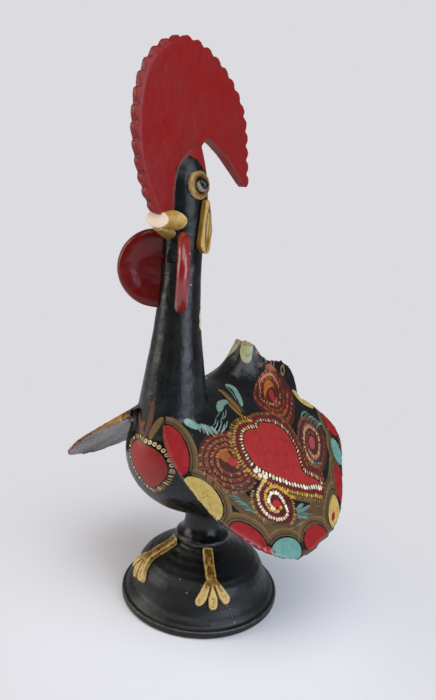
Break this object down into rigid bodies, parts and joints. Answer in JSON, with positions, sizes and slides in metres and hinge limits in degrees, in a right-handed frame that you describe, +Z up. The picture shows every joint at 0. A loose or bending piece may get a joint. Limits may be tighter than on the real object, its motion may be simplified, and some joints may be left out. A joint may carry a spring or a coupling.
{
  "type": "ceramic rooster figure",
  "caption": "Hand-painted earthenware folk rooster on a bell foot, with a tall scalloped comb, spread cape-like wings and a raised tail, to stand on a shelf as an ornament.",
  "frame": {"origin": "centre of the bell foot's standing ring, on the surface it stands on", "axes": "+Z up; the bird faces -Y; +X is the bird's left side"},
  "size_m": [0.2454, 0.1812, 0.4558],
  "materials": {
    "black_paint": "gloss black paint over fired clay",
    "red_paint": "satin dark red paint over fired clay",
    "ochre_paint": "satin ochre paint over fired clay",
    "eye_paint": "gloss black paint with a white dot",
    "pattern_paint": "gloss black ground with a painted pattern of hearts, spirals and scallops"
  },
  "bodies": {
    "root": {"base_bell": "black_paint", "stem": "black_paint", "body": "black_paint", "neck": "black_paint", "head": "black_paint", "comb": "red_paint", "left_wattle": "red_paint", "right_wattle": "red_paint", "upper_beak": "ochre_paint", "lower_beak": "ochre_paint", "left_eye_ring": "ochre_paint", "right_eye_ring": "ochre_paint", "left_earlobe": "ochre_paint", "right_earlobe": "ochre_paint", "left_foot": "ochre_paint", "right_foot": "ochre_paint", "left_pupil": "eye_paint", "right_pupil": "eye_paint", "left_wing": "pattern_paint", "right_wing": "pattern_paint", "tail": "pattern_paint"}
  },
  "joints": []
}
